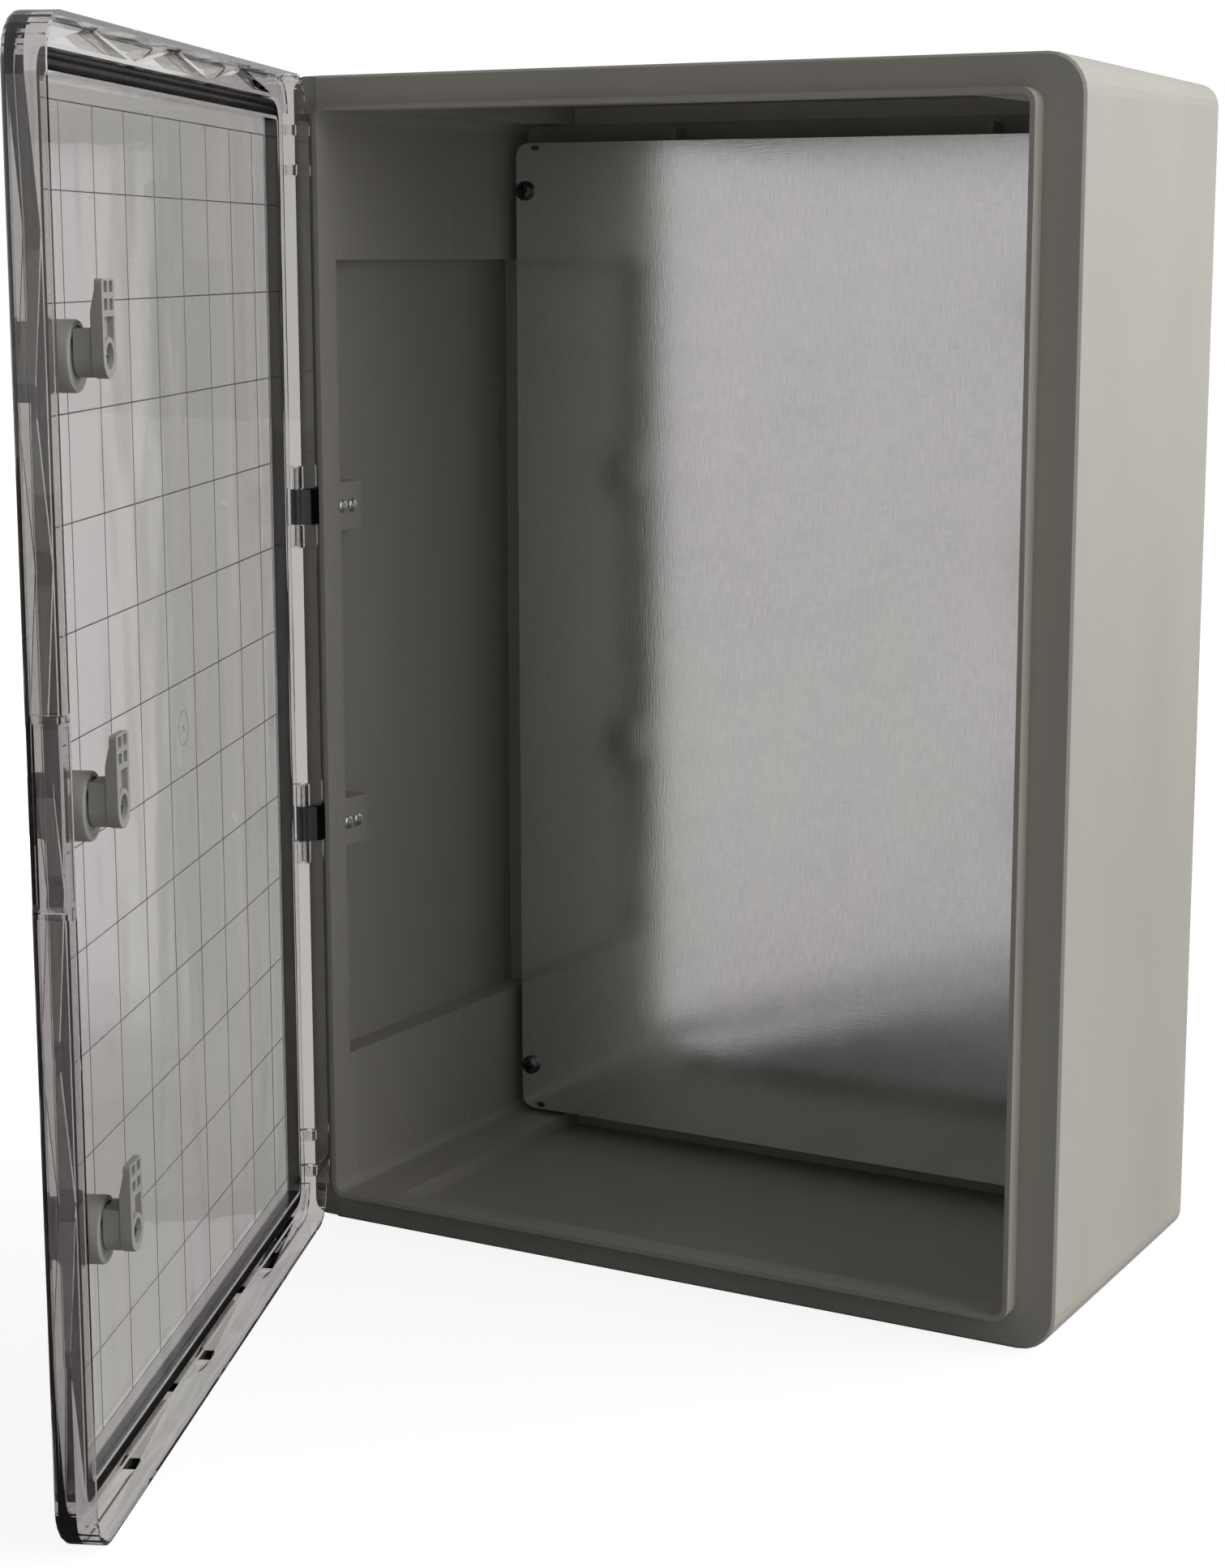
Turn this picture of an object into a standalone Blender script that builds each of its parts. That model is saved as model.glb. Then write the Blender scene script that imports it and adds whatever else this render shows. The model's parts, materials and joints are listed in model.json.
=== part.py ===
"""Wall-mounted control-panel enclosure with a clear hinged door, three quarter-turn latches and a mounting plate.

Metres, +Z up. The rear face of the cabinet lies in the plane y = 0 and the front faces -Y.
"""

import math

import bmesh
import bpy
from mathutils import Vector

# Driving sizes of the cabinet
WIDTH = 0.500
HEIGHT = 0.700
BODY_DEPTH = 0.228
WALL = 0.0045
DRAFT = 0.006
FRONT_CORNER = 0.022
HINGE_CORNER = 0.008
BACK_CORNER = 0.013
GAP = 0.0003

# Front frame: a flat flange with a raised lip that presses into the door seal
FLANGE_Y = -BODY_DEPTH
LIP_HEIGHT = 0.0115
LIP_THICKNESS = 0.003
LIP_FROM_SIDE = 0.0232
LIP_FROM_TOP = 0.0180
LIP_CORNER = 0.009
LIP_X = WIDTH / 2 - LIP_FROM_SIDE
LIP_Z = HEIGHT / 2 - LIP_FROM_TOP
INSIDE_X = LIP_X - LIP_THICKNESS
INSIDE_Z = LIP_Z - LIP_THICKNESS

# Recesses between the thick corner blocks
SIDE_RECESS_HALF = 0.2435
END_RECESS_HALF = 0.186
RECESS_BACK_Y = -0.009
LEFT_RECESS_START = 0.006
CATCH_LEDGE = 0.002

# Door tray, in its own frame: u from the hinge axis to the free edge, v towards the cabinet
OPEN_ANGLE = math.radians(66.5)
AXIS_INSET = 0.0055
RIM_GAP = 0.0007
RIM_V = 0.0090
HINGE_RIM_V = 0.0110
HINGE_RIM_HALF = 0.328
SKIN_OUT_V = -0.0120
SKIN_IN_V = -0.0090
CHANNEL_TOP_V = -0.0010
SKIRT = 0.0025
DOOR_CORNER = 0.022
AXIS_X = AXIS_INSET - WIDTH / 2
AXIS_Y = FLANGE_Y - RIM_GAP - RIM_V
MID_U = -AXIS_X
FREE_EDGE_U = MID_U + WIDTH / 2
STRIP_DEPTH = 0.0032

# Gasket channel, centred on the lip
SEAL_HALF_WIDTH = 0.005
CHANNEL_WALL = 0.002
SEAL_X = LIP_X - LIP_THICKNESS / 2
SEAL_Z = LIP_Z - LIP_THICKNESS / 2
SEAL_FRONT_V = FLANGE_Y - LIP_HEIGHT - AXIS_Y - GAP

# Hinges
HINGE_Z = (0.097, -0.097)
SPARE_KNUCKLE_Z = (0.307, -0.307)
BARREL_RADIUS = 0.0042
PIN_RADIUS = 0.0020
BRACKET_HALF = 0.0105
KNUCKLE_LENGTH = 0.013
LEAF_X = (-0.2432, -0.2364)
LEAF_END_Y = FLANGE_Y + 0.0245
PAD_DEPTH = 0.028
PAD_HALF = 0.0145
LEAF_SCREW_Y = (FLANGE_Y + 0.0075, FLANGE_Y + 0.0175)

# Latches
LATCH_Z = (0.2015, -0.0045, -0.2090)
LATCH_U = 0.4365
CUP_RADIUS = 0.0165
CUP_TOP_V = 0.0015
SHAFT_RADIUS = 0.0060
HUB_RADIUS = 0.0100
ARM_MIDDLE_V = 0.0102
ARM_TOP_V = 0.0160
ARM_LENGTH = 0.0346
ARM_TIP_UNDER_V = FLANGE_Y + CATCH_LEDGE - AXIS_Y + GAP
COUNTERBORE_RADIUS = 0.0060
COUNTERBORE_V = 0.0105
COLLAR_RADIUS = 0.0086

# Mounting plate
PLATE_WIDTH = 0.430
PLATE_HEIGHT = 0.642
PLATE_THICKNESS = 0.002
PLATE_Y = -0.034
PLATE_CENTRE_Z = -0.004
PLATE_SCREW_X = 0.208
PLATE_SCREW_Z = 0.291
POST_RADIUS = 0.008

COLOURS = {
    "cabinet_plastic": ((0.235, 0.225, 0.205), 0.48, 0.0),
    "door_plastic": ((0.52, 0.50, 0.48), 0.12, 0.0),
    "seal_rubber": ((0.012, 0.012, 0.014), 0.75, 0.0),
    "latch_plastic": ((0.21, 0.20, 0.185), 0.50, 0.0),
    "zinc_steel": ((0.55, 0.56, 0.57), 0.35, 1.0),
    "dark_steel": ((0.12, 0.12, 0.13), 0.40, 1.0),
}


def clear_scene():
    for item in list(bpy.data.objects):
        bpy.data.objects.remove(item)


def material(slot):
    found = bpy.data.materials.get(slot)
    if found:
        return found
    colour, roughness, metallic = COLOURS[slot]
    made = bpy.data.materials.new(slot)
    made.use_nodes = True
    shader = made.node_tree.nodes["Principled BSDF"]
    shader.inputs["Base Color"].default_value = (*colour, 1.0)
    shader.inputs["Roughness"].default_value = roughness
    shader.inputs["Metallic"].default_value = metallic
    made.diffuse_color = (*colour, 1.0)
    return made


def new_object(name, mesh_builder, slot=None, parent=None):
    """Make one object from a bmesh. With no slot it is a hidden cutter or filler."""
    mesh = bpy.data.meshes.new(name)
    bmesh.ops.recalc_face_normals(mesh_builder, faces=mesh_builder.faces)
    mesh_builder.to_mesh(mesh)
    mesh_builder.free()
    made = bpy.data.objects.new(name, mesh)
    bpy.context.scene.collection.objects.link(made)
    made.parent = parent
    if slot:
        mesh.materials.append(material(slot))
    else:
        made.hide_render = True
        made.display_type = "WIRE"
    return made


def arc(centre, radius, start, end, steps):
    """Points of an arc given in degrees, both ends included."""
    points = []
    for step in range(steps + 1):
        angle = math.radians(start + (end - start) * step / steps)
        points.append((centre[0] + radius * math.cos(angle), centre[1] + radius * math.sin(angle)))
    return points


def rounded_box_outline(low, high, radius, steps=6, left_radius=None):
    """Counter-clockwise outline of a rectangle with round corners; the left pair may have a radius of its own."""
    left_radius = radius if left_radius is None else left_radius
    left, right = low[0] + left_radius, high[0] - radius
    corners = (
        (right, high[1] - radius, radius, 0),
        (left, high[1] - left_radius, left_radius, 90),
        (left, low[1] + left_radius, left_radius, 180),
        (right, low[1] + radius, radius, 270),
    )
    outline = []
    for x, z, size, start in corners:
        outline += arc((x, z), size, start, start + 90, steps)
    return outline


def centred_outline(half_x, half_z, radius, centre=(0.0, 0.0), steps=6, left_radius=None):
    low = (centre[0] - half_x, centre[1] - half_z)
    high = (centre[0] + half_x, centre[1] + half_z)
    return rounded_box_outline(low, high, radius, steps, left_radius)


def add_loft(builder, rings):
    """Skin between rings of equal point count, capped at both ends. A ring is a list of 3-D points."""
    layers = [[builder.verts.new(point) for point in ring] for ring in rings]
    for lower, upper in zip(layers, layers[1:]):
        for index in range(len(lower)):
            after = (index + 1) % len(lower)
            builder.faces.new((lower[index], lower[after], upper[after], upper[index]))
    builder.faces.new(layers[0])
    builder.faces.new(layers[-1])


def add_prism_y(builder, outline, start, end):
    """Extrude an (x, z) outline along Y."""
    add_loft(builder, [[(x, y, z) for x, z in outline] for y in (start, end)])


def add_prism_z(builder, outline, start, end):
    """Extrude an (x, y) outline along Z."""
    add_loft(builder, [[(x, y, z) for x, y in outline] for z in (start, end)])


def add_box(builder, low, high):
    outline = [(low[0], low[2]), (high[0], low[2]), (high[0], high[2]), (low[0], high[2])]
    add_prism_y(builder, outline, low[1], high[1])


def add_turned(builder, profile, centre=(0.0, 0.0, 0.0), axis="Y", segments=32):
    """Turn a closed (radius, along) profile about a line through the centre."""
    rings = []
    for radius, along in profile:
        ring = []
        for x, z in arc((0.0, 0.0), radius, 0, 360 - 360 / segments, segments - 1):
            local = {"Y": (x, along, z), "X": (along, x, z), "Z": (x, z, along)}[axis]
            ring.append(Vector(local) + Vector(centre))
        rings.append(ring)
    add_loft(builder, rings)


def add_ring(builder, outer, inner, low, high, centre=(0.0, 0.0, 0.0), axis="Y", segments=32):
    """A tube with a round bore, made as one closed loop of faces."""
    rings = []
    for radius, along in ((inner, low), (outer, low), (outer, high), (inner, high)):
        ring = []
        for x, z in arc((0.0, 0.0), radius, 0, 360 - 360 / segments, segments - 1):
            local = {"Y": (x, along, z), "X": (along, x, z), "Z": (x, z, along)}[axis]
            ring.append(builder.verts.new(Vector(local) + Vector(centre)))
        rings.append(ring)
    close_tube(builder, rings)


def close_tube(builder, rings):
    """Join four rings of vertices end to end into a closed tube."""
    for lower, upper in zip(rings, rings[1:] + rings[:1]):
        for index in range(len(lower)):
            after = (index + 1) % len(lower)
            builder.faces.new((lower[index], lower[after], upper[after], upper[index]))


def add_frame_y(builder, outer, inner, start, end):
    """A closed picture-frame solid between two outlines with equal point counts."""
    rings = []
    for outline, y in ((inner, start), (outer, start), (outer, end), (inner, end)):
        rings.append([builder.verts.new((x, y, z)) for x, z in outline])
    close_tube(builder, rings)


def boolean(target, tool, operation="DIFFERENCE"):
    modifier = target.modifiers.new(tool.name, "BOOLEAN")
    modifier.operation = operation
    modifier.solver = "EXACT"
    modifier.object = tool


def smooth(target, angle=32):
    target.data.shade_smooth()
    target.data.set_sharp_from_angle(angle=math.radians(angle))


# Cabinet


def cabinet_solid():
    """Outer form: drafted box, flat flange and the raised lip, as one skin."""
    builder = bmesh.new()
    back_x = WIDTH / 2 - DRAFT
    back_z = HEIGHT / 2 - DRAFT
    edge = 0.005
    front_edge = 0.0015
    back = BACK_CORNER
    front, hinge = FRONT_CORNER, HINGE_CORNER
    flat_x, flat_z = WIDTH / 2 - front_edge, HEIGHT / 2 - front_edge
    levels = (
        (back_x - edge, back_z - edge, back - edge * 0.6, back - edge * 0.6, 0.0),
        (back_x - edge * 0.3, back_z - edge * 0.3, back - edge * 0.2, back - edge * 0.2, -edge * 0.3),
        (back_x, back_z, back, back, -edge),
        (WIDTH / 2, HEIGHT / 2, front, hinge, FLANGE_Y + front_edge),
        (flat_x, flat_z, front - front_edge, hinge - front_edge, FLANGE_Y),
        (LIP_X, LIP_Z, LIP_CORNER, LIP_CORNER, FLANGE_Y),
        (LIP_X, LIP_Z, LIP_CORNER, LIP_CORNER, FLANGE_Y - LIP_HEIGHT),
    )
    rings = []
    for half_x, half_z, radius, left_radius, y in levels:
        outline = centred_outline(half_x, half_z, radius, left_radius=left_radius)
        rings.append([(x, y, z) for x, z in outline])
    add_loft(builder, rings)
    return new_object("cabinet_body", builder, "cabinet_plastic")


def cabinet_cavity():
    builder = bmesh.new()
    outline = centred_outline(INSIDE_X, INSIDE_Z, LIP_CORNER - LIP_THICKNESS)
    add_prism_y(builder, outline, FLANGE_Y - LIP_HEIGHT - 0.01, -WALL)
    return new_object("cut_cavity", builder)


def free_side_recess():
    """The wide recess that the latch arms turn into."""
    builder = bmesh.new()
    outer = WIDTH / 2 - DRAFT - WALL
    low = (INSIDE_X - 0.010, FLANGE_Y + CATCH_LEDGE, -SIDE_RECESS_HALF)
    add_box(builder, low, (outer, RECESS_BACK_Y, SIDE_RECESS_HALF))
    return new_object("cut_recess_right", builder)


def hinge_side_recess():
    """The recess behind the two leaf pads."""
    builder = bmesh.new()
    low = (-WIDTH / 2 + DRAFT + WALL, FLANGE_Y + PAD_DEPTH, -SIDE_RECESS_HALF)
    add_box(builder, low, (0.010 - INSIDE_X, RECESS_BACK_Y, SIDE_RECESS_HALF))
    return new_object("cut_recess_left", builder)


def between_pads_recess():
    """The front part of that recess, which leaves the two leaf pads standing."""
    builder = bmesh.new()
    edges = [SIDE_RECESS_HALF]
    for z in HINGE_Z:
        edges += [z + PAD_HALF, z - PAD_HALF]
    edges.append(-SIDE_RECESS_HALF)
    for top, bottom in zip(edges[0::2], edges[1::2]):
        low = (-WIDTH / 2 + DRAFT + WALL, FLANGE_Y + LEFT_RECESS_START, bottom)
        add_box(builder, low, (0.010 - INSIDE_X, FLANGE_Y + PAD_DEPTH + 0.001, top))
    return new_object("cut_recess_left_front", builder)


def end_recess(side):
    """The shallow recess of the floor or the ceiling."""
    builder = bmesh.new()
    outer = side * (HEIGHT / 2 - DRAFT - WALL)
    inner = side * (INSIDE_Z - 0.010)
    low_z, high_z = sorted((outer, inner))
    low = (-END_RECESS_HALF, FLANGE_Y + LEFT_RECESS_START, low_z)
    add_box(builder, low, (END_RECESS_HALF, RECESS_BACK_Y, high_z))
    return new_object("cut_recess_top" if side > 0 else "cut_recess_bottom", builder)


def hinge_strip():
    """Lowers the flange under the hinge side of the door by the depth of the door's swing."""
    builder = bmesh.new()
    low = (-WIDTH / 2 - 0.01, FLANGE_Y - 0.005, -HEIGHT / 2 - 0.01)
    high = (-LIP_X - 0.0050, FLANGE_Y + STRIP_DEPTH, HEIGHT / 2 + 0.01)
    add_box(builder, low, high)
    return new_object("cut_hinge_strip", builder)


def leaf_slots():
    builder = bmesh.new()
    clearance = 2 * GAP
    for z in HINGE_Z:
        low = (LEAF_X[0] - clearance, FLANGE_Y - 0.002, z - BRACKET_HALF - clearance)
        high = (LEAF_X[1] + clearance, LEAF_END_Y + clearance, z + BRACKET_HALF + clearance)
        add_box(builder, low, high)
    return new_object("cut_leaf_slots", builder)


def leaf_screw_bores():
    builder = bmesh.new()
    for z in HINGE_Z:
        for y in LEAF_SCREW_Y:
            add_turned(builder, ((0.0021, 0.0), (0.0021, 0.016)), (-0.2385, y, z), "X", 16)
    return new_object("cut_leaf_screws", builder)


def plate_posts():
    """Posts that carry the mounting plate and two stiffening ribs on the rear wall."""
    builder = bmesh.new()
    top = PLATE_Y + PLATE_THICKNESS + GAP
    for x, z in plate_screw_places():
        add_turned(builder, ((POST_RADIUS, -WALL + 0.001), (POST_RADIUS, top)), (x, 0.0, z), "Y", 24)
    for x in (-0.108, 0.108):
        add_box(builder, (x - 0.0015, -0.018, -0.325), (x + 0.0015, -WALL + 0.001, 0.325))
    return new_object("add_posts", builder)


def post_bores():
    builder = bmesh.new()
    for x, z in plate_screw_places():
        add_turned(builder, ((0.0027, PLATE_Y), (0.0027, -0.012)), (x, 0.0, z), "Y", 16)
    return new_object("cut_post_bores", builder)


def fixing_marks():
    """Shallow knock-out marks for the wall fixings in the outside of the rear wall."""
    builder = bmesh.new()
    for x in (-0.200, 0.200):
        for z in (-0.300, 0.300):
            profile = ((0.0035, -0.0020), (0.0035, -0.0010), (0.0080, -0.0010), (0.0080, 0.0010))
            add_turned(builder, profile, (x, 0.0, z), "Y", 28)
    return new_object("cut_fixing_marks", builder)


def plate_screw_places():
    places = []
    for x in (-PLATE_SCREW_X, PLATE_SCREW_X):
        for z in (PLATE_SCREW_Z, -PLATE_SCREW_Z):
            places.append((x, PLATE_CENTRE_Z + z))
    return places


def build_cabinet():
    body = cabinet_solid()
    boolean(body, cabinet_cavity())
    boolean(body, free_side_recess())
    boolean(body, hinge_side_recess())
    boolean(body, between_pads_recess())
    for side in (1, -1):
        boolean(body, end_recess(side))
    boolean(body, hinge_strip())
    boolean(body, leaf_slots())
    boolean(body, leaf_screw_bores())
    boolean(body, plate_posts(), "UNION")
    boolean(body, post_bores())
    boolean(body, fixing_marks())
    smooth(body)


def build_mounting_plate():
    builder = bmesh.new()
    outline = centred_outline(PLATE_WIDTH / 2, PLATE_HEIGHT / 2, 0.009, (0.0, PLATE_CENTRE_Z))
    add_prism_y(builder, outline, PLATE_Y, PLATE_Y + PLATE_THICKNESS)
    plate = new_object("mounting_plate", builder, "zinc_steel")
    holes = bmesh.new()
    for x, z in plate_screw_places():
        profile = ((0.0029, PLATE_Y - 0.001), (0.0029, PLATE_Y + PLATE_THICKNESS + 0.001))
        add_turned(holes, profile, (x, 0.0, z), "Y", 16)
    edge = PLATE_HEIGHT / 2
    for x in (-0.2005, 0.2005):
        for side in (1, -1):
            z = PLATE_CENTRE_Z + side * (edge - 0.003)
            outline = centred_outline(0.003, 0.0016, 0.0014, (x, z), 3)
            add_prism_y(holes, outline, PLATE_Y - 0.001, PLATE_Y + PLATE_THICKNESS + 0.001)
    boolean(plate, new_object("cut_plate_holes", holes))


def build_plate_screws():
    names = ("left_top", "left_bottom", "right_top", "right_bottom")
    head = PLATE_Y - GAP
    for name, (x, z) in zip(names, plate_screw_places()):
        builder = bmesh.new()
        profile = (
            (0.0024, -0.0135),
            (0.0024, head),
            (0.0062, head),
            (0.0062, head - 0.0015),
            (0.0052, head - 0.0032),
            (0.0025, head - 0.0038),
        )
        add_turned(builder, profile, (x, 0.0, z), "Y", 24)
        smooth(new_object("plate_screw_" + name, builder, "dark_steel"))


# Hinges


def bracket_outline():
    """Section of a hinge bracket: a barrel round the pin with a leaf that runs back through the flange."""
    start = math.degrees(math.acos((LEAF_X[0] - AXIS_X) / BARREL_RADIUS))
    outline = arc((AXIS_X, AXIS_Y), BARREL_RADIUS, start, 345, 14)
    outline += [
        (LEAF_X[1], AXIS_Y + 0.0030),
        (LEAF_X[1], LEAF_END_Y),
        (LEAF_X[0], LEAF_END_Y),
    ]
    return outline


def build_hinges():
    for name, z in zip(("upper", "lower"), HINGE_Z):
        builder = bmesh.new()
        add_prism_z(builder, bracket_outline(), z - BRACKET_HALF, z + BRACKET_HALF)
        bracket = new_object("hinge_bracket_" + name, builder, "latch_plastic")
        bores = bmesh.new()
        reach = BRACKET_HALF + 0.001
        bore = PIN_RADIUS + GAP
        add_turned(bores, ((bore, z - reach), (bore, z + reach)), (AXIS_X, AXIS_Y, 0.0), "Z", 16)
        for y in LEAF_SCREW_Y:
            add_turned(bores, ((0.0021, 0.0), (0.0021, 0.007)), (-0.2410, y, z), "X", 16)
        boolean(bracket, new_object("cut_bracket_" + name, bores))
        smooth(bracket)

        pin = bmesh.new()
        half = BRACKET_HALF + KNUCKLE_LENGTH
        chamfer = 0.0004
        profile = (
            (PIN_RADIUS - chamfer, z - half),
            (PIN_RADIUS, z - half + chamfer),
            (PIN_RADIUS, z + half - chamfer),
            (PIN_RADIUS - chamfer, z + half),
        )
        add_turned(pin, profile, (AXIS_X, AXIS_Y, 0.0), "Z", 16)
        smooth(new_object("hinge_pin_" + name, pin, "zinc_steel"))

        for place, y in zip(("front", "rear"), LEAF_SCREW_Y):
            screw = bmesh.new()
            head = -INSIDE_X + GAP
            profile = (
                (0.0018, -0.2405),
                (0.0018, head),
                (0.0040, head),
                (0.0040, head + 0.0010),
                (0.0030, head + 0.0022),
            )
            add_turned(screw, profile, (0.0, y, z), "X", 20)
            smooth(new_object(f"hinge_screw_{name}_{place}", screw, "zinc_steel"))


# Door


def door_outline(inset, radius):
    return centred_outline(WIDTH / 2 - inset, HEIGHT / 2 - inset, radius, (MID_U, 0.0))


def seal_outline(offset, radius):
    return centred_outline(SEAL_X + offset, SEAL_Z + offset, radius, (MID_U, 0.0))


def door_solid(parent):
    builder = bmesh.new()
    edge = 0.0045
    levels = (
        (edge, DOOR_CORNER - edge * 0.8, SKIN_OUT_V),
        (edge * 0.62, DOOR_CORNER - edge * 0.5, SKIN_OUT_V + edge * 0.08),
        (edge * 0.3, DOOR_CORNER - edge * 0.25, SKIN_OUT_V + edge * 0.3),
        (edge * 0.08, DOOR_CORNER - edge * 0.06, SKIN_OUT_V + edge * 0.62),
        (0.0, DOOR_CORNER, SKIN_OUT_V + edge),
        (0.0, DOOR_CORNER, HINGE_RIM_V),
    )
    rings = []
    for inset, radius, v in levels:
        rings.append([(u, v, z) for u, z in door_outline(inset, radius)])
    add_loft(builder, rings)
    return new_object("door_shell", builder, "door_plastic", parent)


def tray_cut(parent):
    builder = bmesh.new()
    add_prism_y(builder, door_outline(SKIRT, DOOR_CORNER - SKIRT), CHANNEL_TOP_V, HINGE_RIM_V + 0.005)
    return new_object("cut_tray", builder, None, parent)


def panel_cut(parent):
    builder = bmesh.new()
    inner = -SEAL_HALF_WIDTH - CHANNEL_WALL
    add_prism_y(builder, seal_outline(inner, 0.004), SKIN_IN_V, 0.0)
    return new_object("cut_panel", builder, None, parent)


def seal_cut(parent):
    builder = bmesh.new()
    outer = seal_outline(SEAL_HALF_WIDTH, 0.012)
    inner = seal_outline(-SEAL_HALF_WIDTH, 0.005)
    add_frame_y(builder, outer, inner, SKIN_IN_V, 0.0)
    return new_object("cut_seal_channel", builder, None, parent)


def inset_triangle(points, distance):
    """Move each side of a counter-clockwise triangle inwards."""
    lines = []
    for start, end in zip(points, points[1:] + points[:1]):
        along = (Vector(end) - Vector(start)).normalized()
        inward = Vector((-along.y, along.x))
        lines.append((Vector(start) + inward * distance, along))
    corners = []
    for (point, along), (other, direction) in zip(lines[-1:] + lines[:-1], lines):
        offset = other - point
        cross = along.x * direction.y - along.y * direction.x
        reach = (offset.x * direction.y - offset.y * direction.x) / cross
        corners.append(tuple(point + along * reach))
    return corners


def zigzag_cells(start, end, near, far, count, swap):
    """Triangular cells between two lines, left by a zigzag rib. With swap the strip runs along z."""
    step = (end - start) / count
    cells = []
    for index in range(count - 1):
        base = near if index % 2 == 0 else far
        apex = far if index % 2 == 0 else near
        first = start + index * step
        cell = [(first, base), (first + 2 * step, base), (first + step, apex)]
        if swap:
            cell = [(across, along) for along, across in cell]
        twice_area = (cell[1][0] - cell[0][0]) * (cell[2][1] - cell[0][1])
        twice_area -= (cell[2][0] - cell[0][0]) * (cell[1][1] - cell[0][1])
        if twice_area < 0:
            cell.reverse()
        cells.append(inset_triangle(cell, 0.0009))
    return cells


def rib_cells_cut(parent):
    """Hollows between the skirt and the seal channel; what is left between them is the stiffening rib."""
    builder = bmesh.new()
    channel = SEAL_HALF_WIDTH + CHANNEL_WALL
    reach = 0.0008
    side_near = MID_U + SEAL_X + channel - reach
    side_far = FREE_EDGE_U - SKIRT + reach
    cells = zigzag_cells(-0.330, 0.330, side_near, side_far, 9, True)
    for side in (1, -1):
        near = side * (SEAL_Z + channel - reach)
        far = side * (HEIGHT / 2 - SKIRT + reach)
        cells += zigzag_cells(0.028, 0.470, near, far, 6, False)
    for cell in cells:
        add_prism_y(builder, cell, SKIN_IN_V, 0.0)
    return new_object("cut_rib_cells", builder, None, parent)


def hinge_strip_cut(parent):
    """Empties the strip along the hinge side, where the knuckles stand."""
    builder = bmesh.new()
    low = (-AXIS_INSET + SKIRT, SKIN_IN_V, -0.328)
    high = (MID_U - SEAL_X - SEAL_HALF_WIDTH - CHANNEL_WALL, 0.0, 0.328)
    add_box(builder, low, high)
    return new_object("cut_hinge_side", builder, None, parent)


def rim_cut(parent):
    """Lowers the rim all round but along the hinge side, where it dips into the frame."""
    builder = bmesh.new()
    inside = -AXIS_INSET + SKIRT + 0.001
    left, right, far = -AXIS_INSET - 0.010, FREE_EDGE_U + 0.010, HEIGHT / 2 + 0.010
    outline = [(left, -far), (right, -far), (right, far), (left, far)]
    outline += [(left, HINGE_RIM_HALF), (inside, HINGE_RIM_HALF)]
    outline += [(inside, -HINGE_RIM_HALF), (left, -HINGE_RIM_HALF)]
    add_prism_y(builder, outline, RIM_V, HINGE_RIM_V + 0.002)
    return new_object("cut_rim", builder, None, parent)


def knuckle_outline():
    outline = arc((0.0, 0.0), BARREL_RADIUS, -60, 180, 12)
    return outline + [(-BARREL_RADIUS, SKIN_IN_V - 0.001), (BARREL_RADIUS / 2, SKIN_IN_V - 0.001)]


def knuckles(parent):
    builder = bmesh.new()
    inner = BRACKET_HALF + 2 * GAP
    outer = BRACKET_HALF + KNUCKLE_LENGTH + 0.001
    for z in HINGE_Z:
        add_prism_z(builder, knuckle_outline(), z + inner, z + outer)
        add_prism_z(builder, knuckle_outline(), z - outer, z - inner)
    for z in SPARE_KNUCKLE_Z:
        for offset in (-0.0115, 0.0115):
            add_prism_z(builder, knuckle_outline(), z + offset - 0.003, z + offset + 0.003)
    return new_object("add_knuckles", builder, None, parent)


def knuckle_bores(parent):
    builder = bmesh.new()
    bore = PIN_RADIUS + GAP
    for z, half in [(z, 0.030) for z in HINGE_Z] + [(z, 0.016) for z in SPARE_KNUCKLE_Z]:
        add_turned(builder, ((bore, z - half), (bore, z + half)), (0.0, 0.0, 0.0), "Z", 16)
    return new_object("cut_knuckle_bores", builder, None, parent)


def skirt_notches(parent):
    """Openings in the hinge side of the skirt, which let the door swing past the two brackets."""
    builder = bmesh.new()
    half = BRACKET_HALF + 2 * GAP
    for z in HINGE_Z:
        low = (-AXIS_INSET - 0.002, SKIN_IN_V + 0.0025, z - half)
        add_box(builder, low, (BARREL_RADIUS + 0.002, HINGE_RIM_V + 0.003, z + half))
    return new_object("cut_skirt_notches", builder, None, parent)


def finger_recess(parent):
    """A grip in the free edge, level with the middle latch."""
    builder = bmesh.new()
    outline = centred_outline(0.004, 0.0430, 0.0035, (FREE_EDGE_U - 0.0005, 0.0), 4)
    add_prism_y(builder, outline, SKIN_OUT_V - 0.002, 0.0050)
    return new_object("cut_finger_recess", builder, None, parent)


def finger_recess_wall(parent):
    """Thickens the skirt behind the finger recess."""
    builder = bmesh.new()
    low = (FREE_EDGE_U - 0.0072, SKIN_IN_V - 0.001, -0.0460)
    add_box(builder, low, (FREE_EDGE_U - SKIRT + 0.0008, 0.0070, 0.0460))
    return new_object("add_finger_wall", builder, None, parent)


def latch_holes(parent):
    builder = bmesh.new()
    for z in LATCH_Z:
        profile = ((SHAFT_RADIUS + 2 * GAP, SKIN_OUT_V - 0.002), (SHAFT_RADIUS + 2 * GAP, SKIN_IN_V + 0.002))
        add_turned(builder, profile, (LATCH_U, 0.0, z), "Y", 24)
    return new_object("cut_latch_holes", builder, None, parent)


def build_door(parent):
    shell = door_solid(parent)
    for cutter in (tray_cut, panel_cut, seal_cut, rib_cells_cut, hinge_strip_cut):
        boolean(shell, cutter(parent))
    boolean(shell, knuckles(parent), "UNION")
    boolean(shell, finger_recess_wall(parent), "UNION")
    for cutter in (rim_cut, knuckle_bores, skirt_notches, finger_recess, latch_holes):
        boolean(shell, cutter(parent))
    smooth(shell)


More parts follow.
